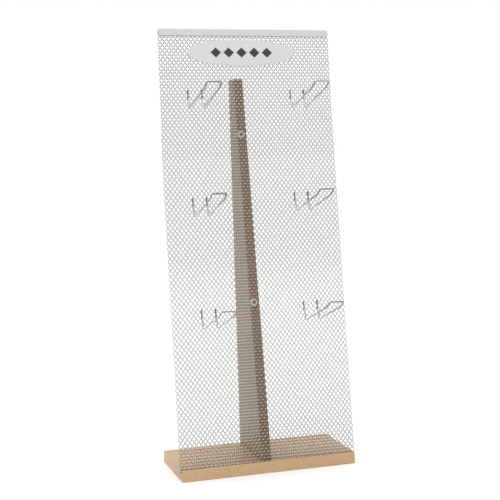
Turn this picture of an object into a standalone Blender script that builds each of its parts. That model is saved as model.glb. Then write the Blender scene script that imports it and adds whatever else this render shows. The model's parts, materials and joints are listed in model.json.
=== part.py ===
"""Counter display stand: an expanded-metal panel that leans back in the groove of a wooden
base board, screwed to a tapered wooden upright, with six double-prong wire hooks.

Metres, +Z up. The origin is the middle of the base board's underside, +X runs along its
width and -Y is the front. Everything that sits on the panel is modelled in the panel's own
frame (x across, y up the panel, z towards the front) and parented to one empty.
"""
import math

import bmesh
import bpy
from mathutils import Matrix, Vector

# ---------------------------------------------------------------- driving dimensions
GAP = 0.0003                    # clearance between pieces that touch

BASE_WIDTH = 0.300
BASE_DEPTH = 0.140
BASE_THICKNESS = 0.019
BASE_EDGE = 0.0010              # eased edges of the board

PANEL_LEAN = math.radians(9.2)      # how far the panel leans back from upright
PANEL_ASKEW = math.radians(0.85)    # how far it has settled round in its own plane
PANEL_INSET = 0.0060            # mesh mid-plane behind the board's front edge, at its top
PANEL_WIDTH = 0.305
PANEL_SIDE = -0.0003            # middle of its width, to the right of the board's middle
PANEL_TOP = 0.728               # top edge, up the panel from the board's top face
GROOVE_DEPTH = 0.0105
PANEL_SEAT = 0.0070             # how deep the mesh stands in the groove

MESH_THICKNESS = 0.0024         # overall, over the raised strands
MESH_COLUMN = 0.0360            # spacing of the openings across and up the panel: 4.7 and
MESH_ROW = 0.0453               # 4.5 times that of the real sheet, which is 7.61 x 10.07 mm
MESH_STRAND = 0.0048
MESH_BORDER = 0.0035
MESH_COLUMN_PHASE = -0.0004     # where a row of whole openings is centred
MESH_ROW_PHASE = 0.6108
PRONG_ROOM = 0.0042             # radius kept clear in the mesh round each hook prong
CUTTER_REACH = 0.004            # how far the mesh's cutters stand out on each side

PROFILE_HEIGHT = 0.0118         # folded profile over the panel's top edge
PROFILE_WALL = 0.0010
PROFILE_WIDTH = 0.2985
PROFILE_SIDE = 0.0029

SIGN_WIDTH = 0.1885
SIGN_HEIGHT = 0.0455
SIGN_THICKNESS = 0.0015
SIGN_FULLNESS = 2.05            # exponent of the oval; 2 is an ellipse
SIGN_PLACE = (-0.0052, 0.6872)
SIGN_POINTS = 56
TAPE_SIZE = (0.050, 0.020)
TAPE_THICKNESS = 0.0010
TAPE_OFFSET = 0.052

UPRIGHT_THICKNESS = 0.0160
UPRIGHT_CENTRE = -0.0035
UPRIGHT_TOP = 0.6535            # above the surface the stand rests on
UPRIGHT_EDGE = 0.0008

PANEL_SCREW_HEIGHTS = {"upper": 0.5475, "lower": 0.2643}    # up the panel
SCREW_SIDE = -0.0027            # beside the upright's middle
SCREW_RADIUS = 0.0020
SCREW_DEPTH = 0.0220            # length in the upright
POINT_LENGTH = 0.0050           # the screws taper over this length, and over its last
TIP_LENGTH = 0.0010             # millimetre from this share of the radius to nothing
POINT_SHARE = 0.4
PAN_HEAD_RADIUS = 0.0041
PAN_HEAD_HEIGHT = 0.0026
PAN_HEAD_RIM = 0.45             # share of the head's height that its rim takes
WASHER_RADIUS = 0.0060
WASHER_THICKNESS = 0.0010

BASE_SCREW_PLACES = {"front": -0.040, "rear": 0.050}
BASE_SCREW_LENGTH = 0.050
FLAT_HEAD_RADIUS = 0.0042
FLAT_HEAD_DEPTH = 0.0026
DOWEL_PLACES = {"front": -0.012, "rear": 0.022}
DOWEL_RADIUS = 0.0040
DOWEL_LENGTH = 0.0300
DOWEL_CHAMFER = 0.0008

WIRE_RADIUS = 0.00125
HOOK_WIDTH = 0.0240             # prong to prong, centre to centre
HOOK_TAIL = 0.0155              # behind the mesh
HOOK_LEG = 0.0175               # in front of it, down to the bend
HOOK_ARM = ((0.0151, 0.1076), (0.0223, 0.1250))     # rise and reach of the kink and the tip
HOOK_BENDS = (0.0024, 0.0024, 0.0032, 0.0150, 0.0035)   # pass, pass, foot, kink, tip
HOOK_PLACES = {                 # where each passes the mesh, across and up the panel, and
    "upper_left": (-0.0890, 0.6093, -1.4),      # how many degrees its arms are bent up
    "upper_right": (0.0911, 0.6093, -1.1),
    "middle_left": (-0.0916, 0.4280, 0.5),
    "middle_right": (0.0872, 0.4330, -0.7),
    "lower_left": (-0.0878, 0.2417, 1.2),
    "lower_right": (0.0910, 0.2467, 1.5),
}

TURNING_STEPS = 16
MERGE = 0.00001


# ---------------------------------------------------------------- helpers
def clear_scene():
    for item in list(bpy.data.objects):
        bpy.data.objects.remove(item, do_unlink=True)


def new_collection(name):
    group = bpy.data.collections.new(name)
    bpy.context.scene.collection.children.link(group)
    return group


def finish(name, color, roughness, metallic=0.0):
    material = bpy.data.materials.new(name)
    material.use_nodes = True
    shader = material.node_tree.nodes["Principled BSDF"]
    shader.inputs["Base Color"].default_value = (*color, 1.0)
    shader.inputs["Roughness"].default_value = roughness
    shader.inputs["Metallic"].default_value = metallic
    return material


def add(name, data, group, parent=None, place=(0, 0, 0), turn=(0, 0, 0)):
    item = bpy.data.objects.new(name, data)
    group.objects.link(item)
    item.parent = parent
    item.location = place
    item.rotation_euler = turn
    return item


def box_mesh(name, size, centre=(0, 0, 0)):
    shape = bmesh.new()
    bmesh.ops.create_cube(shape, size=1.0)
    bmesh.ops.scale(shape, vec=size, verts=shape.verts)
    bmesh.ops.translate(shape, vec=centre, verts=shape.verts)
    mesh = bpy.data.meshes.new(name)
    shape.to_mesh(mesh)
    shape.free()
    return mesh


def turned(name, profile, group, closed=False, **placing):
    """Turn a profile of (radius, height) points, outer side downwards, about Z."""
    mesh = bpy.data.meshes.new(name)
    count = len(profile)
    edges = [(i, i + 1) for i in range(count - 1)]
    if closed:
        edges.append((count - 1, 0))
    mesh.from_pydata([(radius, 0, height) for radius, height in profile], edges, [])
    item = add(name, mesh, group, **placing)
    lathe = item.modifiers.new("turning", "SCREW")
    lathe.axis = "Z"
    lathe.steps = lathe.render_steps = TURNING_STEPS
    lathe.use_merge_vertices = True
    lathe.merge_threshold = MERGE
    lathe.use_smooth_shade = False
    return item


def to_mesh(item):
    """Swap a curve object for a closed mesh object with the same name and place."""
    bpy.context.view_layer.update()
    seen = item.evaluated_get(bpy.context.evaluated_depsgraph_get())
    mesh = bpy.data.meshes.new_from_object(seen)
    shape = bmesh.new()
    shape.from_mesh(mesh)
    bmesh.ops.remove_doubles(shape, verts=shape.verts, dist=MERGE)
    shape.to_mesh(mesh)
    shape.free()
    name, group, place = item.name, item.users_collection[0], item.matrix_world.copy()
    bpy.data.objects.remove(item, do_unlink=True)
    solid = add(name, mesh, group)
    solid.matrix_world = place
    return solid


def plate(name, outlines, thickness, group, **placing):
    """A flat plate of the first outline, with the other outlines as openings."""
    curve = bpy.data.curves.new(name, "CURVE")
    curve.dimensions = "2D"
    curve.fill_mode = "BOTH"
    curve.extrude = thickness / 2
    for outline in outlines:
        spline = curve.splines.new("POLY")
        spline.points.add(len(outline) - 1)
        for point, (x, y) in zip(spline.points, outline):
            point.co = (x, y, 0, 1)
        spline.use_cyclic_u = True
    return to_mesh(add(name, curve, group, **placing))


def wire(name, points, radius):
    curve = bpy.data.curves.new(name, "CURVE")
    curve.dimensions = "3D"
    curve.bevel_depth = radius
    curve.bevel_resolution = 2
    curve.use_fill_caps = True
    spline = curve.splines.new("POLY")
    spline.points.add(len(points) - 1)
    for point, place in zip(spline.points, points):
        point.co = (*place, 1)
    return curve


def rounded_path(corners, radii, steps=3):
    """Straight runs between corners, with an arc of the given radius at each inner one."""
    path = [corners[0]]
    for before, corner, after, radius in zip(corners, corners[1:], corners[2:], radii):
        back = (before - corner).normalized()
        on = (after - corner).normalized()
        half = back.angle(on) / 2
        middle = corner + (back + on).normalized() * radius / math.sin(half)
        start = corner + back * radius / math.tan(half) - middle
        end = corner + on * radius / math.tan(half) - middle
        path += [middle + start.slerp(end, i / steps).normalized() * radius
                 for i in range(steps + 1)]
    return path + [corners[-1]]


def cut(item, cutter, solver="EXACT"):
    boolean = item.modifiers.new("cut " + cutter.name, "BOOLEAN")
    boolean.operation = "DIFFERENCE"
    boolean.solver = solver
    boolean.object = cutter


def as_cutter(item):
    item.hide_render = True
    item.display_type = "WIRE"
    return item


def ease_edges(item, width):
    bevel = item.modifiers.new("eased edges", "BEVEL")
    bevel.width = width
    bevel.segments = 2
    bevel.limit_method = "ANGLE"


def smooth(item, angle=40):
    item.data.shade_smooth()
    item.data.set_sharp_from_angle(angle=math.radians(angle))


# ---------------------------------------------------------------- the wooden stand
def front_face(height):
    """Y of the upright's sloping front edge at a height above the resting surface."""
    behind = (MESH_THICKNESS / 2 + GAP) / math.cos(PANEL_LEAN)
    slope = (height - BASE_THICKNESS) * math.tan(PANEL_LEAN)
    return -BASE_DEPTH / 2 + PANEL_INSET + behind + slope


def panel_frame():
    empty = bpy.data.objects.new("panel_frame", None)
    STAND.objects.link(empty)
    empty.location = (0, -BASE_DEPTH / 2 + PANEL_INSET, BASE_THICKNESS)
    empty.rotation_mode = "ZYX"
    empty.rotation_euler = (math.pi / 2 - PANEL_LEAN, 0, -PANEL_ASKEW)
    bpy.context.view_layer.update()
    return empty


def screw_hole(name, place, depth, sink=True):
    """Clearance hole for a base screw, with its countersink at the underside."""
    wide = FLAT_HEAD_RADIUS + GAP
    narrow = SCREW_RADIUS + GAP
    low = -0.001
    profile = [(0, depth), (narrow, depth), (narrow, low), (0, low)]
    if sink:
        profile[2:] = [(narrow, FLAT_HEAD_DEPTH), (wide, GAP), (wide, low), (0, low)]
    return as_cutter(turned(name, profile, CUTTERS, place=place))


def base_board():
    size = (BASE_WIDTH, BASE_DEPTH, BASE_THICKNESS)
    mesh = box_mesh("base_board", size, (0, 0, BASE_THICKNESS / 2))
    board = add("base_board", mesh, STAND)
    ease_edges(board, BASE_EDGE)
    room = MESH_THICKNESS / 2 + GAP
    above = 0.010
    slot = box_mesh("groove", (BASE_WIDTH * 1.2, GROOVE_DEPTH + above, 2 * room),
                    (0, (above - GROOVE_DEPTH) / 2, 0))
    place = (0, -BASE_DEPTH / 2 + PANEL_INSET, BASE_THICKNESS)
    turn = (math.pi / 2 - PANEL_LEAN, 0, 0)
    cut(board, as_cutter(add("groove", slot, CUTTERS, place=place, turn=turn)))
    for end, y in BASE_SCREW_PLACES.items():
        hole = screw_hole("base_hole_" + end, (UPRIGHT_CENTRE, y, 0), BASE_THICKNESS + 0.001)
        cut(board, hole)
    for end, y in DOWEL_PLACES.items():
        cut(board, dowel_hole("base_dowel_hole_" + end, y))
    board.data.materials.append(OAK)
    return board


def dowel_hole(name, y):
    reach = DOWEL_LENGTH / 2 + GAP
    radius = DOWEL_RADIUS + GAP
    profile = [(0, reach), (radius, reach), (radius, -reach), (0, -reach)]
    place = (UPRIGHT_CENTRE, y, BASE_THICKNESS)
    return as_cutter(turned(name, profile, CUTTERS, place=place))


def upright():
    low = BASE_THICKNESS + GAP
    back = BASE_DEPTH / 2
    outline = [(front_face(low), low), (back, low), (back, UPRIGHT_TOP),
               (front_face(UPRIGHT_TOP), UPRIGHT_TOP)]
    board = plate("upright", [outline], UPRIGHT_THICKNESS, STAND)
    board.matrix_world = (Matrix.Translation((UPRIGHT_CENTRE, 0, 0))
                          @ Matrix.Rotation(math.pi / 2, 4, "Z")
                          @ Matrix.Rotation(math.pi / 2, 4, "X"))
    ease_edges(board, UPRIGHT_EDGE)
    for end, y in BASE_SCREW_PLACES.items():
        top = BASE_SCREW_LENGTH + 2 * GAP
        cut(board, screw_hole("upright_hole_" + end, (UPRIGHT_CENTRE, y, 0), top, False))
    for end, y in DOWEL_PLACES.items():
        cut(board, dowel_hole("upright_dowel_hole_" + end, y))
    for level, height in PANEL_SCREW_HEIGHTS.items():
        cut(board, panel_screw_hole("upright_pilot_" + level, height))
    board.data.materials.append(BROWN_WOOD)
    return board


def base_fasteners():
    for end, y in BASE_SCREW_PLACES.items():
        shank = SCREW_RADIUS
        point = BASE_SCREW_LENGTH
        profile = [(0, point), (shank * POINT_SHARE, point - TIP_LENGTH),
                   (shank, point - POINT_LENGTH), (shank, FLAT_HEAD_DEPTH + GAP), (FLAT_HEAD_RADIUS, 2 * GAP),
                   (FLAT_HEAD_RADIUS, GAP), (0, GAP)]
        screw = turned("base_screw_" + end, profile, STAND, place=(UPRIGHT_CENTRE, y, 0))
        screw.data.materials.append(ZINC)
    for end, y in DOWEL_PLACES.items():
        half, ease = DOWEL_LENGTH / 2, DOWEL_CHAMFER
        inner = DOWEL_RADIUS - ease
        profile = [(0, half), (inner, half), (DOWEL_RADIUS, half - ease),
                   (DOWEL_RADIUS, ease - half), (inner, -half), (0, -half)]
        place = (UPRIGHT_CENTRE, y, BASE_THICKNESS)
        dowel = turned("dowel_" + end, profile, STAND, place=place)
        dowel.data.materials.append(DOWEL_WOOD)


# ---------------------------------------------------------------- the mesh and what it carries
def screw_side(height):
    """Across the panel, where a screw at this height up the panel meets the upright."""
    from_middle = UPRIGHT_CENTRE + SCREW_SIDE - height * math.sin(PANEL_ASKEW)
    return from_middle / math.cos(PANEL_ASKEW)


def clipped(outline, low, high):
    """The part of a convex outline that lies in the rectangle from low to high."""
    for axis in (0, 1):
        for limit, side in ((low[axis], 1), (high[axis], -1)):
            kept = []
            for here, there in zip(outline, outline[1:] + outline[:1]):
                inside = side * (here[axis] - limit)
                beyond = side * (there[axis] - limit)
                if inside >= 0:
                    kept.append(here)
                if inside * beyond < 0:
                    share = inside / (inside - beyond)
                    kept.append(tuple(a + (b - a) * share for a, b in zip(here, there)))
            outline = kept
    return outline


def area(outline):
    pairs = zip(outline, outline[1:] + outline[:1])
    return abs(sum(a[0] * b[1] - b[0] * a[1] for a, b in pairs)) / 2


def mesh_panel():
    left, right = PANEL_SIDE - PANEL_WIDTH / 2, PANEL_SIDE + PANEL_WIDTH / 2
    low, high = -PANEL_SEAT, PANEL_TOP - PROFILE_WALL - GAP
    inner_low = (left + MESH_BORDER, low + MESH_BORDER)
    inner_high = (right - MESH_BORDER, high - MESH_BORDER)
    across, up = MESH_COLUMN / 2, MESH_ROW / 2
    kept = 1 - MESH_STRAND / 2 * math.hypot(across, up) / (across * up)
    corners = ((across * kept, 0), (0, up * kept), (-across * kept, 0), (0, -up * kept))
    smallest = 0.00006
    outlines = [[(left, low), (right, low), (right, high), (left, high)]]
    rows = round(PANEL_TOP / up) + 2
    columns = round(PANEL_WIDTH / MESH_COLUMN) // 2 + 2
    for row in range(-rows, rows):
        for column in range(-columns, columns + 1):
            x = MESH_COLUMN_PHASE + MESH_COLUMN * (column + row % 2 / 2)
            y = MESH_ROW_PHASE + up * row
            diamond = clipped([(x + dx, y + dy) for dx, dy in corners],
                              inner_low, inner_high)
            if len(diamond) > 2 and area(diamond) > smallest:
                outlines.append(diamond)
    panel = plate("mesh_panel", outlines, MESH_THICKNESS, STAND)
    panel.parent = PANEL
    for level, height in PANEL_SCREW_HEIGHTS.items():
        cut(panel, panel_screw_hole("mesh_hole_" + level, height), "MANIFOLD")
    room = [(0, CUTTER_REACH), (PRONG_ROOM, CUTTER_REACH),
            (PRONG_ROOM, -CUTTER_REACH), (0, -CUTTER_REACH)]
    for name, (x, y, _) in HOOK_PLACES.items():
        for side in (-1, 1):
            place = (x + side * HOOK_WIDTH / 2, y, 0)
            cutter = turned("prong_hole_" + name, room, CUTTERS, parent=PANEL, place=place)
            cut(panel, as_cutter(cutter), "MANIFOLD")
    panel.data.materials.append(MESH_METAL)
    return panel


def panel_screw_hole(name, height):
    radius, deep = SCREW_RADIUS + GAP, MESH_THICKNESS / 2 + SCREW_DEPTH + 3 * GAP
    profile = [(0, CUTTER_REACH), (radius, CUTTER_REACH), (radius, -deep), (0, -deep)]
    place = (screw_side(height), height, 0)
    return as_cutter(turned(name, profile, CUTTERS, parent=PANEL, place=place))


def panel_fasteners():
    washer_low = MESH_THICKNESS / 2 + GAP
    washer_high = washer_low + WASHER_THICKNESS
    head = washer_high + GAP
    tip = -MESH_THICKNESS / 2 - SCREW_DEPTH
    shoulder = []
    for angle in (0, 30, 55, 75, 90):
        turn = math.radians(angle)
        share = PAN_HEAD_RIM + (1 - PAN_HEAD_RIM) * math.cos(turn)
        shoulder.append((PAN_HEAD_RADIUS * math.sin(turn), head + PAN_HEAD_HEIGHT * share))
    for level, height in PANEL_SCREW_HEIGHTS.items():
        place = (screw_side(height), height, 0)
        bore = SCREW_RADIUS + GAP
        ring = [(bore, washer_high), (WASHER_RADIUS, washer_high),
                (WASHER_RADIUS, washer_low), (bore, washer_low)]
        washer = turned("panel_washer_" + level, ring, STAND, True, parent=PANEL, place=place)
        washer.data.materials.append(ZINC)
        profile = shoulder + [(PAN_HEAD_RADIUS, head), (SCREW_RADIUS, head),
                              (SCREW_RADIUS, tip + POINT_LENGTH),
                              (SCREW_RADIUS * POINT_SHARE, tip + TIP_LENGTH), (0, tip)]
        screw = turned("panel_screw_" + level, profile, STAND, parent=PANEL, place=place)
        screw.data.materials.append(ZINC)


def top_edge_profile():
    """A strip folded over the mesh's top edge: two walls joined by a round fold."""
    inner = MESH_THICKNESS / 2 + GAP
    outer = inner + PROFILE_WALL
    foot, top = PANEL_TOP - PROFILE_HEIGHT, PANEL_TOP
    bend = 0.0012
    fold = [math.radians(a) for a in (0, 30, 60, 90)]
    right = [(outer - bend + bend * math.cos(t), top - bend + bend * math.sin(t)) for t in fold]
    outline = [(inner, foot), (outer, foot)] + right
    outline += [(-x, y) for x, y in reversed(right)]
    outline += [(-outer, foot), (-inner, foot), (-inner, top - PROFILE_WALL),
                (inner, top - PROFILE_WALL)]
    strip = plate("top_edge_profile", [outline], PROFILE_WIDTH, STAND)
    strip.parent = PANEL
    strip.location.x = PROFILE_SIDE
    strip.rotation_euler = (0, math.pi / 2, 0)
    strip.data.materials.append(GREY_METAL)
    return strip


def sign():
    half_width, half_height = SIGN_WIDTH / 2, SIGN_HEIGHT / 2
    power = 2 / SIGN_FULLNESS
    outline = []
    for i in range(SIGN_POINTS):
        turn = 2 * math.pi * i / SIGN_POINTS
        c, s = math.cos(turn), math.sin(turn)
        outline.append((half_width * math.copysign(abs(c) ** power, c),
                        half_height * math.copysign(abs(s) ** power, s)))
    tape_face = MESH_THICKNESS / 2 + GAP + TAPE_THICKNESS
    middle = tape_face + GAP + SIGN_THICKNESS / 2
    face = plate("sign_plate", [outline], SIGN_THICKNESS, STAND)
    face.parent = PANEL
    face.location = (*SIGN_PLACE, middle)
    face.data.materials.append(PALE_PLATE)
    for side, name in ((-1, "sign_tape_left"), (1, "sign_tape_right")):
        tape = add(name, box_mesh(name, (*TAPE_SIZE, TAPE_THICKNESS)), STAND, PANEL,
                   (SIGN_PLACE[0] + side * TAPE_OFFSET, SIGN_PLACE[1],
                    tape_face - TAPE_THICKNESS / 2))
        tape.data.materials.append(TAPE_FOAM)


def hook_path(bent_up):
    """One bent wire: tail, through the mesh, leg, arm, crossbar, and the same way back."""
    half = HOOK_WIDTH / 2
    off = MESH_THICKNESS / 2 + GAP / 2 + WIRE_RADIUS
    c, s = math.cos(bent_up), math.sin(bent_up)
    side = [(HOOK_TAIL, -off), (0, -off), (0, off), (-HOOK_LEG, off)]
    side += [(rise * c + reach * s - HOOK_LEG, off + reach * c - rise * s)
             for rise, reach in HOOK_ARM]
    corners = [Vector((-half, y, z)) for y, z in side]
    corners += [Vector((half, y, z)) for y, z in reversed(side)]
    return rounded_path(corners, HOOK_BENDS + HOOK_BENDS[::-1])


def hooks():
    for name, (x, y, bent_up) in HOOK_PLACES.items():
        shape = wire("hook_wire_" + name, hook_path(math.radians(bent_up)), WIRE_RADIUS)
        shape.materials.append(HOOK_STEEL)
        add("hook_" + name, shape, STAND, PANEL, (x, y, 0))


# ---------------------------------------------------------------- build
clear_scene()
STAND = new_collection("counter_display_stand")
CUTTERS = new_collection("cutters")

OAK = finish("pale oak", (0.72, 0.55, 0.38), 0.50)
BROWN_WOOD = finish("brown stained wood", (0.36, 0.27, 0.20), 0.55)
DOWEL_WOOD = finish("beech dowel", (0.70, 0.54, 0.36), 0.60)
MESH_METAL = finish("expanded metal", (0.62, 0.63, 0.64), 0.42, 0.9)
GREY_METAL = finish("grey folded metal", (0.64, 0.66, 0.67), 0.45, 0.6)
PALE_PLATE = finish("pale sign plate", (0.78, 0.80, 0.82), 0.40)
TAPE_FOAM = finish("foam tape", (0.80, 0.80, 0.80), 0.90)
ZINC = finish("zinc plated steel", (0.66, 0.67, 0.65), 0.35, 1.0)
HOOK_STEEL = finish("bright hook wire", (0.55, 0.56, 0.57), 0.28, 1.0)

PANEL = panel_frame()
base_board()
upright()
base_fasteners()
mesh_panel()
panel_fasteners()
top_edge_profile()
sign()
hooks()
for part in STAND.objects:
    if part.type == "MESH" and part.name.split("_")[0] in ("base", "dowel", "panel", "sign"):
        smooth(part)
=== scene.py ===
"""Looks of the counter display stand: a leaning expanded-metal panel on a wooden stand, with
six double-prong wire hooks, a folded edge profile and an oval sign with a row of diamonds.

Metres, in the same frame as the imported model: +Z up, -Y to the front. Pieces on the panel
are worked out in the panel's own frame (x across, y up the panel, z towards the front).
"""

import json
import math

import bpy
import numpy as np
from mathutils import Matrix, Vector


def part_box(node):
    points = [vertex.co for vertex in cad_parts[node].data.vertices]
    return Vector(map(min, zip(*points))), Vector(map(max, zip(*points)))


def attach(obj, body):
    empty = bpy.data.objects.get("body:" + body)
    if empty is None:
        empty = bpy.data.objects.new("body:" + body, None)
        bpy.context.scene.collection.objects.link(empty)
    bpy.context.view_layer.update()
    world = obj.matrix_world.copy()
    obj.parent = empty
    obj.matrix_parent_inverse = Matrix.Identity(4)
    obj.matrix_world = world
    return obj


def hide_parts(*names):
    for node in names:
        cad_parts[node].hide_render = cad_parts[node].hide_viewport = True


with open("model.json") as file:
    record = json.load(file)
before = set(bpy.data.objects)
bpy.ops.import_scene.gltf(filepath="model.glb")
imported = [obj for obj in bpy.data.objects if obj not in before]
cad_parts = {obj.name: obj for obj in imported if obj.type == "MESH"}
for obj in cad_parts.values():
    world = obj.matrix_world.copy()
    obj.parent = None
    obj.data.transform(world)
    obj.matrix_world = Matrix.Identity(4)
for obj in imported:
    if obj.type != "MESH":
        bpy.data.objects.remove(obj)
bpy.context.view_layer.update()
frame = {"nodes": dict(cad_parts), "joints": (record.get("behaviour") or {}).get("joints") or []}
STAND = "stand"
GAP = 0.0003

# ---------------------------------------------------------------- sizes of the fine pieces
SHEET_HALF_COLUMN = 0.003805        # half an opening of the expanded metal, across and up
SHEET_HALF_ROW = 0.005035
SHEET_COLUMN_PHASE = -0.0003
SHEET_ROW_PHASE = 0.0060
SHEET_COLUMNS = (-40, 40)           # first and last line of bonds
SHEET_THICKNESS = 0.0024            # overall
STRAND_WIDTH = 0.00119
STRAND_THICKNESS = 0.00090
BOND_TILT = math.radians(28)        # of the sheet's own faces, at a bond and between bonds
STRAND_TILT = math.radians(50)
BOND_SHARE = 0.24                   # share of a half row in which two strands are one
DRAW_START = 0.48                   # height from which the sheet is drawn towards its profile
DRAW_SPAN = 0.20
DRAW_LEAN = 0.0026                  # how far it then leans to the right, at the end of the span
DRAW_NARROW = 0.0096                # share of its width that it loses
PRONG_BELL = 0.009                  # reach of the giving way round a prong
PANEL_SEAT = 0.0070                 # how deep the sheet stands in the groove
PANEL_TOP = 0.728

WIRE_RADIUS = 0.00125
HOOK_WIDTH = 0.0240
HOOK_TAIL = 0.0155
HOOK_LEG = 0.0175
HOOK_ARM = ((0.0151, 0.1076), (0.0223, 0.1250))     # rise and reach of the kink and the tip
HOOK_BENDS = (0.0024, 0.0024, 0.0032, 0.0150, 0.0035)
HOOK_BENT_UP = {"upper_left": -1.4, "upper_right": -1.1, "middle_left": 0.5,
                "middle_right": -0.7, "lower_left": 1.2, "lower_right": 1.5}   # degrees
PRONG_OVER_BOND = 0.0041            # a prong passes this far above the middle of a bond
# Painted reflection and shade on each hook's arms and tip: 0 is painted pale, 1 painted dark.
HOOK_PAINTED_SHADE = {"upper_left": (0.70, 0.75), "upper_right": (0.22, 0.55),       # arms, tip
                "middle_left": (0.25, 0.70), "middle_right": (0.25, 0.75),
                "lower_left": (0.32, 0.55), "lower_right": (0.30, 0.65)}
# Painted shade on the legs: little, so they stay pale as a painted reflection.
LEG_PAINTED_SHADE = 0.05

PROFILE_HEIGHT = 0.0118
PROFILE_WALL = 0.0010
PROFILE_SPAN = (-0.14635, 0.15215)

SIGN_SIZE = (0.1885, 0.0455)
SIGN_PLACE = (-0.0052, 0.6872)
SIGN_FULLNESS = 2.05
SIGN_THICKNESS = 0.0015
MOTIF_COUNT = 5                     # dark diamonds in a row on the sign
MOTIF_STEP = 0.0225
MOTIF_SIZE = (0.0185, 0.0175)
TAPE_SIZE = (0.050, 0.020)
TAPE_THICKNESS = 0.0010
TAPE_OFFSET = 0.052
SIGN_BACK = SHEET_THICKNESS / 2 + 2 * GAP + TAPE_THICKNESS

WASHER_BORE = 0.0023
WASHER_RIM = 0.0060
WASHER_THICKNESS = 0.0010
SHANK_RADIUS = 0.0020
SHANK_POINT = 0.005                 # length over which a shank tapers
PAN_HEAD = (0.0041, 0.0026)         # radius and height over the washer
PAN_REACH = 0.022                   # how far its point is behind the sheet
SUNK_HEAD = (0.0042, 0.0025)        # radius and depth
PAN_RECESS = (0.0029, 0.0009, 0.0016)       # reach, half width and depth of a recess's arms
SUNK_RECESS = (0.0023, 0.0006, 0.0018)

HEAD_DARKER = 0.45                    # how far a screw's crown is darkened, against the painted shade of its recess

CAMERA_PLACE = (-0.5705, -1.9203, 0.5564)
CAMERA_TURN = (84.563, 1.780, -16.630)      # degrees, about X, Y and Z
CAMERA_LENS = 85.95

FLOOR_HALF = 30.0
WORLD_GLOW = ((0.0, 0.80), (0.46, 0.45), (0.60, 0.50), (1.0, 1.60))   # from nadir to zenith


# ---------------------------------------------------------------- the panel's frame
def unit(vector):
    """A vector of the same direction and length one."""
    return vector / np.linalg.norm(vector)


def panel_axes():
    """Across, up and front of the panel, from the hinges of the hooks that sit on it."""
    places = {joint["child"]: np.array(joint["pos_m"]) for joint in frame["joints"]}
    across = -unit(np.array(frame["joints"][0]["axis"], float))
    rise = places["hook_upper_left"] - places["hook_lower_left"]
    up = unit(rise - across * (rise @ across))
    return np.array([across, up, np.cross(across, up)])


def panel_origin(axes):
    """Middle of the line where the panel's plane meets the top face of the base board."""
    hinge = np.array(frame["joints"][0]["pos_m"])
    low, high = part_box("base_board")
    normal = axes[2]
    depth = hinge[1] + (normal[2] * (hinge[2] - high.z) + normal[0] * hinge[0]) / normal[1]
    return np.array([0, depth, high.z])


AXES = panel_axes()
ORIGIN = panel_origin(AXES)


def from_panel(points):
    """Points in the panel's frame, as rows, taken to the row frame."""
    return ORIGIN + np.asarray(points, float) @ AXES


def to_panel(point):
    """A point in the row frame taken to the panel's frame."""
    return (np.asarray(point, float) - ORIGIN) @ AXES.T


# ---------------------------------------------------------------- mesh helpers
def piece(name, points, faces, body, replaced, smooth=True, angle=35):
    """A new mesh piece at the origin, riding on a body and standing for CAD nodes.

    Faces that meet at more than the angle, in degrees, keep a sharp edge between them.
    """
    mesh = bpy.data.meshes.new(name)
    mesh.from_pydata(np.asarray(points).tolist(), [], faces)
    mesh.validate()
    if smooth:
        mesh.shade_smooth()
        mesh.set_sharp_from_angle(angle=math.radians(angle))
    item = bpy.data.objects.new(name, mesh)
    bpy.context.scene.collection.objects.link(item)
    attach(item, body)
    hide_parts(*replaced)
    return item


def mark(item, name, values):
    """Give a piece an attribute with one number, or one row of three, for every point."""
    values = np.asarray(values, np.float32)
    kind, field = ("FLOAT", "value") if values.ndim == 1 else ("FLOAT_VECTOR", "vector")
    own = item.data.attributes.new(name, kind, "POINT")
    own.data.foreach_set(field, values.reshape(-1))


def grid_faces(rings, sides, closed=False):
    """Quads between successive rings of points, each ring having the same sides."""
    ring = np.arange(rings if closed else rings - 1)[:, None]
    side = np.arange(sides)[None, :]
    here, there = ring * sides, (ring + 1) % rings * sides
    after = (side + 1) % sides
    quads = np.stack([here + side, here + after, there + after, there + side], axis=-1)
    return quads.reshape(-1, 4).tolist()


def swept(path, section, size):
    """Carry a flat section along a path without twist; a ring of points at every path point.

    Each ring stands square to the mean of the two runs that meet there and has its own size.
    The section's first direction is passed on from ring to ring with the least turn.
    """
    runs = np.diff(path, axis=0)
    runs /= np.linalg.norm(runs, axis=1)[:, None]
    along = np.vstack([runs[:1], runs[:-1] + runs[1:], runs[-1:]])
    along /= np.linalg.norm(along, axis=1)[:, None]
    first = unit(np.cross(along[0], [0.3, 0.2, 1.0]))
    rings = []
    for here, way, scale in zip(path, along, size):
        first = unit(first - way * (first @ way))
        second = np.cross(way, first)
        rings.append(here + scale * (section[:, :1] * first + section[:, 1:] * second))
    sides = len(section)
    faces = grid_faces(len(path), sides)
    last = (len(path) - 1) * sides
    faces.append(list(range(sides))[::-1])
    faces.append([last + i for i in range(sides)])
    return np.vstack(rings), faces


def rounded_path(corners, radii, steps):
    """Straight runs between corners, with an arc of the given radius at each inner one."""
    path = [corners[0]]
    for before, corner, after, radius in zip(corners, corners[1:], corners[2:], radii):
        back, on = unit(before - corner), unit(after - corner)
        half = math.acos(back @ on) / 2
        middle = corner + unit(back + on) * radius / math.sin(half)
        start = corner + back * radius / math.tan(half) - middle
        end = corner + on * radius / math.tan(half) - middle
        for i in range(steps + 1):
            share = i / steps * (math.pi - 2 * half)
            side = unit(end - start * (end @ start) / radius ** 2)
            path.append(middle + start * math.cos(share) + side * radius * math.sin(share))
    return np.array(path + [corners[-1]])


# ---------------------------------------------------------------- materials
def new_material(name):
    """A material with its nodes, its links and its Principled shader."""
    material = bpy.data.materials.new(name)
    material.use_nodes = True
    tree = material.node_tree
    return material, tree.nodes, tree.links, tree.nodes["Principled BSDF"]


def node(nodes, kind, **values):
    """A new node, with values set on the inputs of those names or else as its settings."""
    item = nodes.new(kind)
    for key, value in values.items():
        if key in item.inputs:
            item.inputs[key].default_value = value
        else:
            setattr(item, key, value)
    return item


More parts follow.
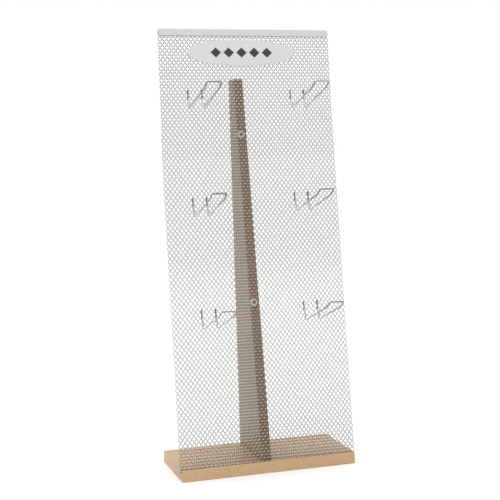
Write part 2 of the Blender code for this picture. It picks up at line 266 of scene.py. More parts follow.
def color_ramp(nodes, stops):
    """A ramp with a color at each of the given places from 0 to 1."""
    ramp = nodes.new("ShaderNodeValToRGB")
    elements = ramp.color_ramp.elements
    while len(elements) < len(stops):
        elements.new(0.5)
    for element, (place, color) in zip(elements, stops):
        element.position = place
        element.color = (*color, 1.0)
    return ramp


def grey(level):
    """A neutral color."""
    return (level, level, level)


def wood_group():
    """Long grain along X: slow colour bands, narrow growth lines, fine dark pores."""
    group = bpy.data.node_groups.new("wood grain", "ShaderNodeTree")
    sockets = group.interface
    for name, kind, start in (("Vector", "NodeSocketVector", None),
                              ("Light", "NodeSocketColor", (0.8, 0.6, 0.4, 1)),
                              ("Dark", "NodeSocketColor", (0.6, 0.4, 0.2, 1)),
                              ("Ring spacing", "NodeSocketFloat", 90.0),
                              ("Figure", "NodeSocketFloat", 0.5)):
        socket = sockets.new_socket(name, in_out="INPUT", socket_type=kind)
        if start is not None:
            socket.default_value = start
    for name, kind in (("Color", "NodeSocketColor"), ("Pores", "NodeSocketFloat"),
                       ("Height", "NodeSocketFloat")):
        sockets.new_socket(name, in_out="OUTPUT", socket_type=kind)
    nodes, links = group.nodes, group.links
    inp, out = nodes.new("NodeGroupInput"), nodes.new("NodeGroupOutput")

    stretch = node(nodes, "ShaderNodeMapping", Scale=(0.06, 1.0, 1.0))
    links.new(inp.outputs["Vector"], stretch.inputs["Vector"])
    warp = node(nodes, "ShaderNodeTexNoise", Scale=14.0, Detail=3.0, Roughness=0.55)
    links.new(stretch.outputs["Vector"], warp.inputs["Vector"])
    push = node(nodes, "ShaderNodeVectorMath", operation="MULTIPLY_ADD")
    push.inputs[1].default_value = (0.0, 0.022, 0.022)
    links.new(warp.outputs["Color"], push.inputs[0])
    links.new(stretch.outputs["Vector"], push.inputs[2])

    rings = node(nodes, "ShaderNodeTexWave", wave_type="RINGS", rings_direction="X",
                 wave_profile="SAW", Distortion=1.6, Detail=2.0)
    rings.inputs["Detail Scale"].default_value = 1.4
    shift = node(nodes, "ShaderNodeMapping", Location=(0.0, 0.11, 0.16))
    links.new(push.outputs["Vector"], shift.inputs["Vector"])
    links.new(shift.outputs["Vector"], rings.inputs["Vector"])
    links.new(inp.outputs["Ring spacing"], rings.inputs["Scale"])

    fibre_map = node(nodes, "ShaderNodeMapping", Scale=(0.02, 1.0, 1.0))
    links.new(inp.outputs["Vector"], fibre_map.inputs["Vector"])
    fibre = node(nodes, "ShaderNodeTexNoise", Scale=900.0, Detail=4.0, Roughness=0.6)
    links.new(fibre_map.outputs["Vector"], fibre.inputs["Vector"])
    pore_map = node(nodes, "ShaderNodeMapping", Scale=(0.05, 1.0, 1.0))
    links.new(inp.outputs["Vector"], pore_map.inputs["Vector"])
    pores = node(nodes, "ShaderNodeTexNoise", Scale=1500.0, Detail=1.0)
    links.new(pore_map.outputs["Vector"], pores.inputs["Vector"])
    pore_mask = node(nodes, "ShaderNodeMapRange")
    pore_mask.inputs["From Min"].default_value = 0.60
    pore_mask.inputs["From Max"].default_value = 0.72
    links.new(pores.outputs["Fac"], pore_mask.inputs["Value"])

    patches = node(nodes, "ShaderNodeTexNoise", Scale=9.0, Detail=2.0)
    links.new(stretch.outputs["Vector"], patches.inputs["Vector"])
    figure = node(nodes, "ShaderNodeMath", operation="MULTIPLY")
    links.new(rings.outputs["Fac"], figure.inputs[0])
    links.new(inp.outputs["Figure"], figure.inputs[1])
    lines = node(nodes, "ShaderNodeMath", operation="MULTIPLY_ADD")
    lines.inputs[1].default_value = 0.34
    links.new(fibre.outputs["Fac"], lines.inputs[0])
    links.new(figure.outputs["Value"], lines.inputs[2])
    blend = node(nodes, "ShaderNodeMath", operation="MULTIPLY_ADD")
    blend.inputs[1].default_value = 0.80
    blend.use_clamp = True
    links.new(patches.outputs["Fac"], blend.inputs[0])
    links.new(lines.outputs["Value"], blend.inputs[2])
    lift = node(nodes, "ShaderNodeMapRange")
    lift.inputs["From Min"].default_value = 0.38
    lift.inputs["From Max"].default_value = 1.0
    links.new(blend.outputs["Value"], lift.inputs["Value"])

    tint = node(nodes, "ShaderNodeMix", data_type="RGBA")
    links.new(lift.outputs["Result"], tint.inputs["Factor"])
    links.new(inp.outputs["Light"], tint.inputs[6])
    links.new(inp.outputs["Dark"], tint.inputs[7])
    darker = node(nodes, "ShaderNodeMix", data_type="RGBA", blend_type="MULTIPLY")
    darker.inputs[7].default_value = (0.62, 0.52, 0.42, 1)
    links.new(pore_mask.outputs["Result"], darker.inputs["Factor"])
    links.new(tint.outputs[2], darker.inputs[6])
    links.new(darker.outputs[2], out.inputs["Color"])
    links.new(pore_mask.outputs["Result"], out.inputs["Pores"])
    height = node(nodes, "ShaderNodeMath", operation="MULTIPLY_ADD")
    height.inputs[1].default_value = -0.6
    links.new(pore_mask.outputs["Result"], height.inputs[0])
    links.new(fibre.outputs["Fac"], height.inputs[2])
    links.new(height.outputs["Value"], out.inputs["Height"])
    return group


def wood(name, light, dark, turn, place, rough, figure=0.5, coat=0.0):
    """A wood whose grain is turned to run along the board; pores are rougher and sunk."""
    material, nodes, links, shader = new_material(name)
    where = nodes.new("ShaderNodeTexCoord")
    turned_map = node(nodes, "ShaderNodeMapping", Location=place, Rotation=turn)
    links.new(where.outputs["Object"], turned_map.inputs["Vector"])
    grain = nodes.new("ShaderNodeGroup")
    grain.node_tree = WOOD
    grain.inputs["Light"].default_value = (*light, 1)
    grain.inputs["Dark"].default_value = (*dark, 1)
    grain.inputs["Figure"].default_value = figure
    links.new(turned_map.outputs["Vector"], grain.inputs["Vector"])
    links.new(grain.outputs["Color"], shader.inputs["Base Color"])
    gloss = node(nodes, "ShaderNodeMapRange")
    gloss.inputs["To Min"].default_value = rough
    gloss.inputs["To Max"].default_value = rough + 0.18
    links.new(grain.outputs["Pores"], gloss.inputs["Value"])
    links.new(gloss.outputs["Result"], shader.inputs["Roughness"])
    bump = node(nodes, "ShaderNodeBump", Strength=0.35, Distance=0.0002)
    links.new(grain.outputs["Height"], bump.inputs["Height"])
    links.new(bump.outputs["Normal"], shader.inputs["Normal"])
    shader.inputs["Coat Weight"].default_value = coat
    shader.inputs["Coat Roughness"].default_value = 0.35
    return material


def worn_group():
    """Fine scratches and slow blotches of a handled metal surface."""
    group = bpy.data.node_groups.new("handled metal", "ShaderNodeTree")
    sockets = group.interface
    sockets.new_socket("Vector", in_out="INPUT", socket_type="NodeSocketVector")
    for name, start in (("Blotch scale", 60.0), ("Scratch scale", 500.0)):
        socket = sockets.new_socket(name, in_out="INPUT", socket_type="NodeSocketFloat")
        socket.default_value = start
    for name in ("Blotch", "Scratch"):
        sockets.new_socket(name, in_out="OUTPUT", socket_type="NodeSocketFloat")
    nodes, links = group.nodes, group.links
    inp, out = nodes.new("NodeGroupInput"), nodes.new("NodeGroupOutput")
    blotch = node(nodes, "ShaderNodeTexNoise", Detail=4.0, Roughness=0.6)
    scratch = node(nodes, "ShaderNodeTexNoise", Detail=2.0)
    thin = node(nodes, "ShaderNodeMapping", Rotation=(0.2, 0.1, 0.6), Scale=(1.0, 0.08, 1.0))
    links.new(inp.outputs["Vector"], blotch.inputs["Vector"])
    links.new(inp.outputs["Vector"], thin.inputs["Vector"])
    links.new(thin.outputs["Vector"], scratch.inputs["Vector"])
    links.new(inp.outputs["Blotch scale"], blotch.inputs["Scale"])
    links.new(inp.outputs["Scratch scale"], scratch.inputs["Scale"])
    for texture, name in ((blotch, "Blotch"), (scratch, "Scratch")):
        spread = node(nodes, "ShaderNodeMapRange")
        spread.inputs["From Min"].default_value = 0.32
        spread.inputs["From Max"].default_value = 0.68
        links.new(texture.outputs["Fac"], spread.inputs["Value"])
        links.new(spread.outputs["Result"], out.inputs[name])
    return group


def metal(name, bright, dull, rough, rough_spread, metallic=1.0, blotch=60.0):
    """A handled metal or paint: two tones in blotches, scratches that are rough and sunk."""
    material, nodes, links, shader = new_material(name)
    where = nodes.new("ShaderNodeTexCoord")
    worn = nodes.new("ShaderNodeGroup")
    worn.node_tree = WORN
    worn.inputs["Blotch scale"].default_value = blotch
    links.new(where.outputs["Object"], worn.inputs["Vector"])
    tint = node(nodes, "ShaderNodeMix", data_type="RGBA")
    tint.inputs[6].default_value = (*bright, 1)
    tint.inputs[7].default_value = (*dull, 1)
    links.new(worn.outputs["Blotch"], tint.inputs["Factor"])
    links.new(tint.outputs[2], shader.inputs["Base Color"])
    gloss = node(nodes, "ShaderNodeMapRange")
    gloss.inputs["To Min"].default_value = rough
    gloss.inputs["To Max"].default_value = rough + rough_spread
    links.new(worn.outputs["Scratch"], gloss.inputs["Value"])
    links.new(gloss.outputs["Result"], shader.inputs["Roughness"])
    bump = node(nodes, "ShaderNodeBump", Strength=0.4, Distance=0.00003)
    links.new(worn.outputs["Scratch"], bump.inputs["Height"])
    links.new(bump.outputs["Normal"], shader.inputs["Normal"])
    shader.inputs["Metallic"].default_value = metallic
    return material


def repaint(material, mask, color):
    """Lay a flat color over a material's base color where a mask is 1."""
    nodes, links = material.node_tree.nodes, material.node_tree.links
    base = nodes["Principled BSDF"].inputs["Base Color"]
    over = node(nodes, "ShaderNodeMix", data_type="RGBA")
    over.inputs[7].default_value = (*color, 1)
    links.new(base.links[0].from_socket, over.inputs[6])
    links.new(mask, over.inputs["Factor"])
    links.new(over.outputs[2], base)


def above(mask, start, material):
    """A mask that stays 0 up to a start and then rises to 1."""
    spread = node(material.node_tree.nodes, "ShaderNodeMapRange")
    spread.inputs["From Min"].default_value = start
    material.node_tree.links.new(mask, spread.inputs["Value"])
    return spread.outputs["Result"]


def attribute(material, name):
    """The node that reads one of a piece's own attributes."""
    return node(material.node_tree.nodes, "ShaderNodeAttribute", attribute_name=name)


def paint_edge_shade(material, color):
    """Darken the narrow faces of an upright board, those whose normal is far from X, as painted
    shade on its edges.
    """
    nodes, links = material.node_tree.nodes, material.node_tree.links
    base = nodes["Principled BSDF"].inputs["Base Color"]
    parts = nodes.new("ShaderNodeSeparateXYZ")
    links.new(nodes.new("ShaderNodeNewGeometry").outputs["Normal"], parts.inputs["Vector"])
    across = node(nodes, "ShaderNodeMath", operation="ABSOLUTE")
    links.new(parts.outputs["X"], across.inputs[0])
    mask = node(nodes, "ShaderNodeMapRange")
    mask.inputs["From Min"].default_value = 0.9
    mask.inputs["From Max"].default_value = 0.4
    links.new(across.outputs["Value"], mask.inputs["Value"])
    over = node(nodes, "ShaderNodeMix", data_type="RGBA", blend_type="MULTIPLY")
    over.inputs[7].default_value = (*color, 1)
    links.new(base.links[0].from_socket, over.inputs[6])
    links.new(mask.outputs["Result"], over.inputs["Factor"])
    links.new(over.outputs[2], base)


def diamonds(material):
    """Mask of a row of diamonds on the front of the plate.

    Inside one, |x from the nearest middle| / half width + |y| / half height is under 1.
    """
    nodes, links = material.node_tree.nodes, material.node_tree.links

    def math_node(operation, first, second):
        item = node(nodes, "ShaderNodeMath", operation=operation)
        for socket, value in zip(item.inputs, (first, second)):
            if isinstance(value, float):
                socket.default_value = value
            else:
                links.new(value, socket)
        return item.outputs["Value"]

    parts = nodes.new("ShaderNodeSeparateXYZ")
    links.new(attribute(material, "plate").outputs["Vector"], parts.inputs["Vector"])
    x, y = parts.outputs["X"], parts.outputs["Y"]
    nearest = math_node("SNAP", math_node("ADD", x, MOTIF_STEP / 2), MOTIF_STEP)
    beside = math_node("ABSOLUTE", math_node("SUBTRACT", x, nearest), 0.0)
    away = math_node("ADD", math_node("DIVIDE", beside, MOTIF_SIZE[0] / 2),
                     math_node("DIVIDE", math_node("ABSOLUTE", y, 0.0), MOTIF_SIZE[1] / 2))
    in_front = math_node("GREATER_THAN", parts.outputs["Z"], SIGN_BACK + SIGN_THICKNESS / 2)
    inside = math_node("MULTIPLY", math_node("LESS_THAN", away, 1.0), in_front)
    row = math_node("LESS_THAN", math_node("ABSOLUTE", x, 0.0), MOTIF_STEP * MOTIF_COUNT / 2)
    return math_node("MULTIPLY", inside, row)


def give(item, material):
    """Put one material on a piece or a CAD node, in place of what it had."""
    item.data.materials.clear()
    item.data.materials.append(material)


# ---------------------------------------------------------------- the expanded metal
def hook_places():
    """Where each hook's body passes the mesh, in the panel's frame."""
    return {joint["child"]: to_panel(joint["pos_m"]) for joint in frame["joints"]}


def drawn(column, height):
    """How far the sheet is drawn sideways at a line of bonds and a height up the panel.

    Above a start it leans to the right by a power of the rise, and narrows over the first
    half of the span by a smooth step. Round each prong it gives way by a Gaussian bell, so
    that a bond lies under the prong.
    """
    across = SHEET_COLUMN_PHASE + SHEET_HALF_COLUMN * column
    rise = np.clip((height - DRAW_START) / DRAW_SPAN, 0, None)
    early = np.clip(2 * rise, 0, 1)
    narrow = early ** 2 * (3 - 2 * early)
    pull = DRAW_LEAN * rise ** 1.2 - DRAW_NARROW * narrow * across
    shift = pull.copy()
    for place in hook_places().values():
        bond_height = place[1] - PRONG_OVER_BOND
        row = round((bond_height - SHEET_ROW_PHASE) / SHEET_HALF_ROW)
        for side in (-1, 1):
            prong = place[0] + side * HOOK_WIDTH / 2
            near = np.hypot(across + pull - prong, height - bond_height)
            closest = np.unravel_index(np.argmin(near), near.shape)
            line = (prong - SHEET_COLUMN_PHASE - pull[closest]) / SHEET_HALF_COLUMN
            bond = 2 * round((line - row) / 2) + row
            miss = (line - bond) * SHEET_HALF_COLUMN
            shift += miss * np.exp(-near ** 2 / (2 * PRONG_BELL ** 2))
    return shift


def expanded_mesh():
    """Upright zigzag strands, each leaning left and right in turn to bond with its neighbours.

    Strand k lies between bond lines k and k+1. Where the bond (column + row even) is on its
    left it moves half a strand off that line, and then crosses to the line on its right. Its
    section is a flat bar tilted about the upright, less at a bond than half way to the next.
    """
    bottom, top = -PANEL_SEAT, PANEL_TOP - PROFILE_WALL - GAP
    first, last = (round((y - SHEET_ROW_PHASE) / SHEET_HALF_ROW) for y in (bottom, top))
    rows = np.arange(first - 1, last + 2)
    steps = np.array([-BOND_SHARE / 2, BOND_SHARE / 2, 0.5])
    height = (SHEET_ROW_PHASE + SHEET_HALF_ROW * (rows[:, None] + steps)).reshape(-1)
    row = np.repeat(rows, 3)
    between = np.tile([0.0, 0.0, 1.0], len(rows))
    inside = (height > bottom) & (height < top)
    height, row, between = height[inside], row[inside], between[inside]

    strand = np.arange(SHEET_COLUMNS[0], SHEET_COLUMNS[1])[:, None]
    on_left = (strand + row) % 2 == 0
    side = np.where(on_left, 1.0, -1.0) * (1 - between)
    column = strand + 0.5 - side / 2
    tilt = BOND_TILT + (STRAND_TILT - BOND_TILT) * between
    across_x, across_z = np.cos(tilt), np.sin(tilt)
    level = np.broadcast_to(height, column.shape)
    middle_x = (SHEET_COLUMN_PHASE + SHEET_HALF_COLUMN * column + drawn(column, level)
                + side * STRAND_WIDTH / 2 * math.cos(BOND_TILT))
    middle_z = side * STRAND_WIDTH / 2 * math.sin(BOND_TILT)

    half_w, half_t = STRAND_WIDTH / 2, STRAND_THICKNESS / 2
    corner_w = np.array([-half_w, half_w, half_w, -half_w])
    corner_t = np.array([-half_t, -half_t, half_t, half_t])
    x = middle_x[..., None] + corner_w * across_x[:, None] - corner_t * across_z[:, None]
    z = middle_z[..., None] + corner_w * across_z[:, None] + corner_t * across_x[:, None]
    y = np.broadcast_to(level[..., None], x.shape)
    points = np.stack([x, y, z], axis=-1)

    rings, sides = len(height), 4
    one = np.array(grid_faces(rings, sides))[:, ::-1]
    caps = np.array([[0, 1, 2, 3], [(rings - 1) * sides + i for i in (3, 2, 1, 0)]])
    one = np.vstack([one, caps])
    half = len(strand) // 2
    # Painted highlight on the bonds: 1 at a bond and 0 half way to the next, read by the sheet's
    # material.
    painted_bond_highlight = np.broadcast_to((1 - between)[None, :, None], x.shape)
    for name, part in (("left", slice(0, half)), ("right", slice(half, None))):
        own = points[part]
        starts = np.arange(len(own)) * rings * sides
        faces = (one[None] + starts[:, None, None]).reshape(-1, 4)
        sheet = piece("expanded_mesh_" + name, from_panel(own.reshape(-1, 3)), faces.tolist(),
                      STAND, ["mesh_panel"], smooth=False)
        mark(sheet, "bond", painted_bond_highlight[part].reshape(-1))
        give(sheet, SHEET_METAL)


# ---------------------------------------------------------------- hooks
def hook_corners(bent_up):
    """Corners of the wire: tail, through the mesh, leg, kinked arm, crossbar, and back.

    The arms are turned up about the foot of the legs by the given angle.
    """
    half = HOOK_WIDTH / 2
    off = SHEET_THICKNESS / 2 + GAP / 2 + WIRE_RADIUS
    c, s = math.cos(bent_up), math.sin(bent_up)
    side = [(HOOK_TAIL, -off), (0, -off), (0, off), (-HOOK_LEG, off)]
    side += [(rise * c + reach * s - HOOK_LEG, off + reach * c - rise * s)
             for rise, reach in HOOK_ARM]
    corners = [np.array([-half, y, z]) for y, z in side]
    return corners + [np.array([half, y, z]) for y, z in reversed(side)]


def painted_wire_shade(path, arm, end):
    """How dark a wire is painted along its length, as painted shade and painted reflection: full
    on the tails, which lie in shade behind the sheet, and little on the legs, which are painted
    pale as a reflection.

    Read from the reach in front of the sheet, with each hook's own values on arms and tip.
    """
    kink, tip = HOOK_ARM[0][1], HOOK_ARM[1][1]
    reach = [-0.001, 0.001, 0.004, 0.012, 0.85 * kink, kink, tip]
    return np.interp(path[:, 2], reach, [1.0, LEG_PAINTED_SHADE, LEG_PAINTED_SHADE, arm, arm, end, end])


def hook_wires():
    """A round wire along the bent path, its two cut ends rounded off over half a radius."""
    turns = np.arange(14) * 2 * math.pi / 14
    section = WIRE_RADIUS * np.stack([np.cos(turns), np.sin(turns)], axis=1)
    for body, place in hook_places().items():
        bent_up = math.radians(HOOK_BENT_UP[body.removeprefix("hook_")])
        path = rounded_path(hook_corners(bent_up), HOOK_BENDS + HOOK_BENDS[::-1], 8)
        for end, inner in ((0, 1), (-1, -2)):
            way = unit(path[inner] - path[end])
            slopes = [(1 - math.cos(t)) * WIRE_RADIUS / 2 for t in np.radians([0, 30, 60, 90])]
            ends = [path[end] + way * slope for slope in slopes]
            path = np.vstack([ends, path[1:]] if end == 0 else [path[:-1], ends[::-1]])
        size = np.ones(len(path))
        size[:4] = [0.5 + 0.5 * math.sin(math.radians(a)) for a in (0, 30, 60, 90)]
        size[-4:] = size[3::-1]
        points, faces = swept(path, section, size)
        item = piece(body + "_wire", from_panel(points + place), faces, body,
                     [body], angle=60)
        # Painted shade and painted reflection along the wire, full dark on the tails behind the
        # sheet.
        dark = painted_wire_shade(path, *HOOK_PAINTED_SHADE[body.removeprefix("hook_")])
        mark(item, "painted_wire_shade", np.repeat(dark, len(section)))
        give(item, HOOK_STEEL)


# ---------------------------------------------------------------- edge profile and sign
def edge_profile():
    """A strip folded over the sheet: one closed outline carried across the panel.

    The outline runs up the front wall, round the fold and down the back wall, then back
    inside it. At each end of the strip it is drawn in by a quarter of a millimetre.
    """
    inner = SHEET_THICKNESS / 2 + GAP
    outer = inner + PROFILE_WALL
    foot, top, bend, lip = PANEL_TOP - PROFILE_HEIGHT, PANEL_TOP, 0.0015, 0.0003
    fold = np.radians(np.linspace(0, 90, 8))
    front = [(inner + lip, foot), (outer - lip, foot), (outer, foot + lip)]
    front += [(outer - bend + bend * math.cos(t), top - bend + bend * math.sin(t)) for t in fold]
    back = [(-z, y) for z, y in reversed(front)]
    inside = [(-inner, foot + lip), (-inner, top - PROFILE_WALL), (inner, top - PROFILE_WALL),
              (inner, foot + lip)]
    outline = np.array(front + back + inside)
    before, after = np.roll(outline, 1, axis=0), np.roll(outline, -1, axis=0)
    along = (after - before) / np.linalg.norm(after - before, axis=1)[:, None]
    inward = np.stack([-along[:, 1], along[:, 0]], axis=1)
    ease = 0.00025
    left, right = PROFILE_SPAN
    stations = [(left, ease), (left + ease, 0), (right - ease, 0), (right, ease)]
    points = [np.column_stack([np.full(len(outline), x), (outline + inward * draw)[:, ::-1]])
              for x, draw in stations]
    sides = len(outline)
    last = (len(stations) - 1) * sides
    faces = grid_faces(len(stations), sides)
    faces.append(list(range(sides))[::-1])
    faces.append([last + i for i in range(sides)])
    item = piece("edge_profile", from_panel(np.vstack(points)), faces, STAND,
                 ["top_edge_profile"], angle=40)
    give(item, GREY_METAL)


def oval(width, height, steps):
    """Points of a superellipse: the cosine and sine, each to the power 2 / fullness."""
    turn = np.arange(steps) * 2 * math.pi / steps
    c, s = np.cos(turn), np.sin(turn)
    power = 2 / SIGN_FULLNESS
    return np.stack([width / 2 * np.sign(c) * np.abs(c) ** power,
                     height / 2 * np.sign(s) * np.abs(s) ** power], axis=1)


def sign():
    """An oval plate: copies of the oval, growing from the middle of the front to its rim,
    then round the rim by a quarter circle and straight back. The front is slightly domed.
    """
    rim, dome, steps = 0.0005, 0.0003, 96
    low, high = SIGN_BACK, SIGN_BACK + SIGN_THICKNESS
    width, height = SIGN_SIZE
    flat = oval(width - 2 * rim, height - 2 * rim, steps)
    rings = [(flat * share, high - dome * share ** 2) for share in np.linspace(0.1, 1, 9)]
    for turn in np.radians([30, 60, 90]):
        inset = 2 * rim * (1 - math.sin(turn))
        rings.append((oval(width - inset, height - inset, steps),
                      high - dome - rim * (1 - math.cos(turn))))
    rings.append((oval(width, height, steps), low))
    points = [np.column_stack([outline, np.full(steps, z)]) for outline, z in rings]
    points = np.vstack(points + [[[0, 0, high], [0, 0, low]]])
    plate = points.copy()
    points[:, :2] += SIGN_PLACE
    faces = [face[::-1] for face in grid_faces(len(rings), steps)]
    front, back, last = len(points) - 2, len(points) - 1, (len(rings) - 1) * steps
    for i in range(steps):
        j = (i + 1) % steps
        faces += [[front, i, j], [back, last + j, last + i]]
    item = piece("sign", from_panel(points), faces, STAND, ["sign_plate"], angle=50)
    mark(item, "plate", plate)
    give(item, PALE_PLATE)


def foam_pads():
    """Two pads behind the sign: a rounded rectangle whose side wall bulges by a sine."""
    steps, corner, bulge = 48, 0.003, 0.0003
    low = SHEET_THICKNESS / 2 + GAP
    turn = (np.arange(steps) + 0.5) * 2 * math.pi / steps
    half_x, half_y = TAPE_SIZE[0] / 2 - corner, TAPE_SIZE[1] / 2 - corner
    way = np.stack([np.cos(turn), np.sin(turn)], axis=1)
    middle = np.sign(way) * [half_x, half_y]
    shares = np.array([0, 0.12, 0.3, 0.5, 0.7, 0.88, 1])
    rings = [np.column_stack([middle + way * (corner - bulge + bulge * math.sin(math.pi * share)),
                              np.full(steps, low + TAPE_THICKNESS * share)])
             for share in shares[::-1]]
    faces = [face[::-1] for face in grid_faces(len(rings), steps)]
    last = (len(rings) - 1) * steps
    faces += [list(range(steps)), [last + i for i in reversed(range(steps))]]
    for side, name in ((-1, "left"), (1, "right")):
        points = np.vstack(rings) + [SIGN_PLACE[0] + side * TAPE_OFFSET, SIGN_PLACE[1], 0]
        item = piece("foam_pad_" + name, from_panel(points), faces, STAND,
                     ["sign_tape_" + name], angle=50)
        give(item, FOAM)


# ---------------------------------------------------------------- screws and washers
def circles(rows, turn):
    """Points on circles about Z, a ring of them for every (radius, height) row."""
    radius, height = np.array(rows, float).T
    level = np.repeat(height[:, None], len(turn), axis=1)
    rings = [np.outer(radius, np.cos(turn)), np.outer(radius, np.sin(turn)), level]
    return np.stack(rings, axis=-1).reshape(-1, 3)


def recess(points, reach, arm, depth):
    """Press a cross into rows of points: deepest on the two arms, tapering to their ends."""
    x, y = np.abs(points[:, 0]), np.abs(points[:, 1])
    beside, along = np.minimum(x, y), np.maximum(x, y)
    wall = np.clip((arm - beside) / (0.35 * arm) + 0.5, 0, 1)
    end = np.clip((reach - along) / (0.3 * reach), 0, 1)
    pressed = points.copy()
    share = wall * end * (1 - 0.45 * np.clip(along / reach, 0, 1))
    pressed[:, 2] -= depth * share
    return pressed, share


def screw(name, crown, shank, cross, place):
    """A turned screw: rings over the crown of the head, then down its rim and shank.

    crown is rows of (radius, height) from the middle outwards and shank carries on from it
    to the point. The cross is pressed into the crown. place takes its rows to the world.
    """
    steps = 48
    turn = np.arange(steps) * 2 * math.pi / steps
    radius = np.linspace(0.06, 1, 18) * crown[-1][0]
    height = np.interp(radius, [r for r, _ in crown], [z for _, z in crown])
    rows = list(zip(radius, height))
    top, share = recess(circles(rows, turn), *cross)
    middle, _ = recess(np.array([[0.0, 0.0, crown[0][1]]]), *cross)
    points = np.vstack([top, circles(shank, turn), middle, [[0, 0, shank[-1][1]]]])
    count = len(rows) + len(shank)
    faces = [face[::-1] for face in grid_faces(count, steps)]
    first, last = count * steps, (count - 1) * steps
    for i in range(steps):
        j = (i + 1) % steps
        faces += [[first, i, j], [first + 1, last + j, last + i]]
    item = piece(name + "_turned", place(points), faces, STAND, [name], angle=40)
    # Painted shade in the cross recess, darkest where it is deepest and at its middle; the crown
    # round it is darkened by a flat share.
    painted_recess_shade_and_darker_crown = np.zeros(len(points))
    painted_recess_shade_and_darker_crown[:len(top)] = HEAD_DARKER + (1 - HEAD_DARKER) * share
    painted_recess_shade_and_darker_crown[first] = 1
    mark(item, "pressed", painted_recess_shade_and_darker_crown)
    give(item, ZINC)


def washer(name, place):
    """A flat ring with every edge rounded: one small closed outline turned about the screw."""
    ease, steps = 0.00025, 64
    low = SHEET_THICKNESS / 2 + GAP
    high = low + WASHER_THICKNESS
    outline = []
    for r, z, start in ((WASHER_RIM, high, 0), (WASHER_BORE, high, 90), (WASHER_BORE, low, 180),
                        (WASHER_RIM, low, 270)):
        r += -ease if r == WASHER_RIM else ease
        z += ease if z == low else -ease
        outline += [(r + ease * math.cos(a), z + ease * math.sin(a))
                    for a in np.radians(np.linspace(start, start + 90, 4))]
    turn = np.arange(steps) * 2 * math.pi / steps
    r, z = np.array(outline).T
    points = np.stack([np.outer(np.cos(turn), r), np.outer(np.sin(turn), r),
                       np.broadcast_to(z, (steps, len(z)))], axis=-1).reshape(-1, 3)
    faces = [face[::-1] for face in grid_faces(steps, len(outline), closed=True)]
    item = piece(name + "_rounded", place(points), faces, STAND, [name], angle=60)
    give(item, ZINC)


def fasteners():
    """The panel's pan-head screws on their washers, and the base board's sunk screws."""
    for level in ("upper", "lower"):
        low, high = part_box("panel_washer_" + level)
        centre = to_panel((low + high) / 2)[:2]

        def on_panel(points, centre=centre):
            return from_panel(points + [*centre, 0])

        washer("panel_washer_" + level, on_panel)
        radius, height = PAN_HEAD
        base = SHEET_THICKNESS / 2 + 2 * GAP + WASHER_THICKNESS
        crown = [(radius * math.sin(t), base + height * (0.45 + 0.55 * math.cos(t)))
                 for t in np.radians(np.linspace(0, 86, 12))]
        tip = -SHEET_THICKNESS / 2 - PAN_REACH
        shank = [(radius, base + 0.0011), (radius, base + 0.0003), (radius - 0.0003, base),
                 (SHANK_RADIUS, base), (SHANK_RADIUS, tip + SHANK_POINT), (0.0008, tip + 0.001),
                 (0.0001, tip)]
        screw("panel_screw_" + level, crown, shank, PAN_RECESS, on_panel)
    for end in ("front", "rear"):
        low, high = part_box("base_screw_" + end)
        middle = (low + high) / 2

        def from_below(points, middle=middle, low=low):
            return np.array([middle.x, middle.y, low.z]) + points * [1, -1, -1]

        tip = low.z - high.z
        radius, depth = SUNK_HEAD
        crown = [(0.0, 0.0), (radius - 0.0002, 0.0)]
        shank = [(radius, -0.0002), (radius, -0.0004), (SHANK_RADIUS, -depth),
                 (SHANK_RADIUS, tip + SHANK_POINT), (0.0008, tip + 0.001), (0.0001, tip)]
        screw("base_screw_" + end, crown, shank, SUNK_RECESS, from_below)


# ---------------------------------------------------------------- stage
def stage():
    """A pale floor, and a world that is white to look at and dimmer near its horizon."""
    mesh = bpy.data.meshes.new("floor")
    size = FLOOR_HALF
    mesh.from_pydata([(-size, -size, 0), (size, -size, 0), (size, size, 0), (-size, size, 0)],
                     [], [(0, 1, 2, 3)])
    floor = bpy.data.objects.new("floor", mesh)
    bpy.context.scene.collection.objects.link(floor)
    material, _, _, shader = new_material("pale floor")
    shader.inputs["Base Color"].default_value = (0.95, 0.95, 0.95, 1)
    shader.inputs["Roughness"].default_value = 0.9
    mesh.materials.append(material)

    world = bpy.data.worlds.new("soft studio")
    bpy.context.scene.world = world
    world.use_nodes = True
    nodes, links = world.node_tree.nodes, world.node_tree.links
    background = nodes["Background"]
    where = nodes.new("ShaderNodeTexCoord")
    parts = nodes.new("ShaderNodeSeparateXYZ")
    links.new(where.outputs["Generated"], parts.inputs["Vector"])
    glow = color_ramp(nodes, [(place, grey(level)) for place, level in WORLD_GLOW])
    span = node(nodes, "ShaderNodeMapRange")
    span.inputs["From Min"].default_value = -1.0
    links.new(parts.outputs["Z"], span.inputs["Value"])
    links.new(span.outputs["Result"], glow.inputs["Fac"])
    seen = nodes.new("ShaderNodeLightPath")
    level = node(nodes, "ShaderNodeMix", data_type="RGBA")
    level.inputs[7].default_value = (1.0, 1.0, 1.0, 1)
    links.new(seen.outputs["Is Camera Ray"], level.inputs["Factor"])
    links.new(glow.outputs["Color"], level.inputs[6])
    links.new(level.outputs[2], background.inputs["Color"])
    background.inputs["Strength"].default_value = 1.0
    bpy.context.scene.view_settings.view_transform = "Standard"


def lamp(name, place, aim, size, power):
    """A white rectangular lamp that faces a point."""
    light = bpy.data.lights.new(name, "AREA")
    light.shape = "RECTANGLE"
    light.size, light.size_y = size
    light.energy = power
    item = bpy.data.objects.new(name, light)
    bpy.context.scene.collection.objects.link(item)
    back = unit(np.array(place, float) - np.array(aim, float))
    right = unit(np.cross([0, 0, 1], back))
    up = np.cross(back, right)
    turn = Matrix((right, up, back)).transposed()
    item.matrix_world = Matrix.Translation(place) @ turn.to_4x4()


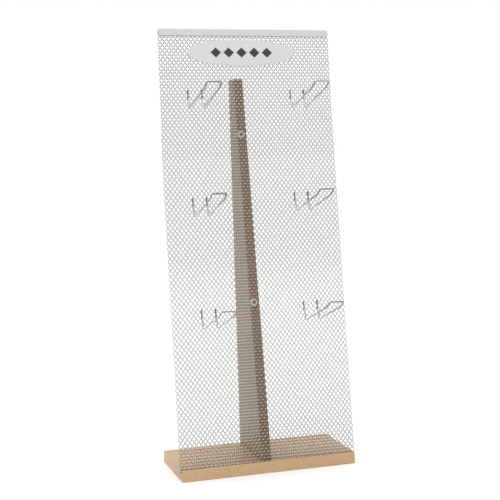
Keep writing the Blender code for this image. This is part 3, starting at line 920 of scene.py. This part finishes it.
def lights():
    """Three soft lamps, weak beside the world's own light."""
    middle = (0, 0, 0.35)
    lamp("key", (-1.6, -2.0, 2.4), middle, (1.6, 1.6), 20)
    lamp("fill", (2.2, -1.6, 1.2), middle, (1.8, 1.8), 6)
    lamp("back", (0.4, 2.4, 1.8), middle, (2.0, 1.4), 8)


def camera():
    """The camera, in front of the stand and to its left."""
    lens = bpy.data.cameras.new("camera")
    lens.sensor_width = 36
    lens.lens = CAMERA_LENS
    item = bpy.data.objects.new("camera", lens)
    item.location = CAMERA_PLACE
    item.rotation_euler = [math.radians(a) for a in CAMERA_TURN]
    bpy.context.scene.collection.objects.link(item)
    bpy.context.scene.camera = item


# ---------------------------------------------------------------- put together
WOOD = wood_group()
WORN = worn_group()
PALE_OAK = wood("pale oak", (0.63, 0.435, 0.262), (0.46, 0.280, 0.138),
                (0, 0, 0), (0, 0, 0), 0.45, figure=0.25, coat=0.15)
BROWN_WOOD = wood("brown wood", (0.46, 0.365, 0.262), (0.32, 0.245, 0.165),
                  (0, math.radians(90), 0), (0.02, 0.03, 0), 0.5, coat=0.1)
# Painted shade on the upright's narrow faces, the front edge behind the sheet among them.
paint_edge_shade(BROWN_WOOD, (0.80, 0.62, 0.50))
DOWEL_WOOD = wood("dowel wood", (0.70, 0.52, 0.34), (0.55, 0.38, 0.22),
                  (0, math.radians(90), 0), (0, 0, 0), 0.6)
# The strands' dark grey is partly the metal's own tone and partly painted shade on their faces.
SHEET_METAL = metal("expanded sheet metal", (0.165, 0.162, 0.158), (0.115, 0.113, 0.110),
                    0.35, 0.2)
# Painted highlight: the bonds are laid over in a pale colour.
repaint(SHEET_METAL, above(attribute(SHEET_METAL, "bond").outputs["Fac"], 0.80, SHEET_METAL),
        (0.62, 0.60, 0.57))
GREY_METAL = metal("grey painted metal", (0.555, 0.575, 0.585), (0.52, 0.54, 0.55),
                   0.45, 0.1, 0.0)
PALE_PLATE = metal("pale plate", (0.59, 0.60, 0.61), (0.57, 0.58, 0.59), 0.4, 0.1, 0.0)
repaint(PALE_PLATE, diamonds(PALE_PLATE), (0.03, 0.03, 0.035))
ZINC = metal("zinc plating", (0.66, 0.67, 0.64), (0.50, 0.52, 0.48), 0.3, 0.2)
# Painted shade in the screws' recesses, and a flat darker crown.
repaint(ZINC, attribute(ZINC, "pressed").outputs["Fac"], (0.05, 0.055, 0.05))
HOOK_STEEL = metal("plated wire", (0.86, 0.86, 0.86), (0.60, 0.60, 0.60), 0.14, 0.12,
                   blotch=70.0)
# Painted shade and painted reflection laid over the plated wire's colour along its length.
repaint(HOOK_STEEL, attribute(HOOK_STEEL, "painted_wire_shade").outputs["Fac"], (0.09, 0.09, 0.095))
FOAM = metal("foam", (0.8, 0.8, 0.8), (0.75, 0.75, 0.75), 0.9, 0.05, 0.0)

for name, material in (("base_board", PALE_OAK), ("upright", BROWN_WOOD),
                       ("dowel_front", DOWEL_WOOD), ("dowel_rear", DOWEL_WOOD),
                       ("top_edge_profile", GREY_METAL), ("sign_plate", PALE_PLATE),
                       ("sign_tape_left", FOAM), ("sign_tape_right", FOAM),
                       ("panel_screw_upper", ZINC), ("panel_screw_lower", ZINC),
                       ("panel_washer_upper", ZINC), ("panel_washer_lower", ZINC),
                       ("base_screw_front", ZINC), ("base_screw_rear", ZINC)):
    give(frame["nodes"][name], material)

expanded_mesh()
hook_wires()
edge_profile()
sign()
foam_pads()
fasteners()
stage()
lights()
camera()
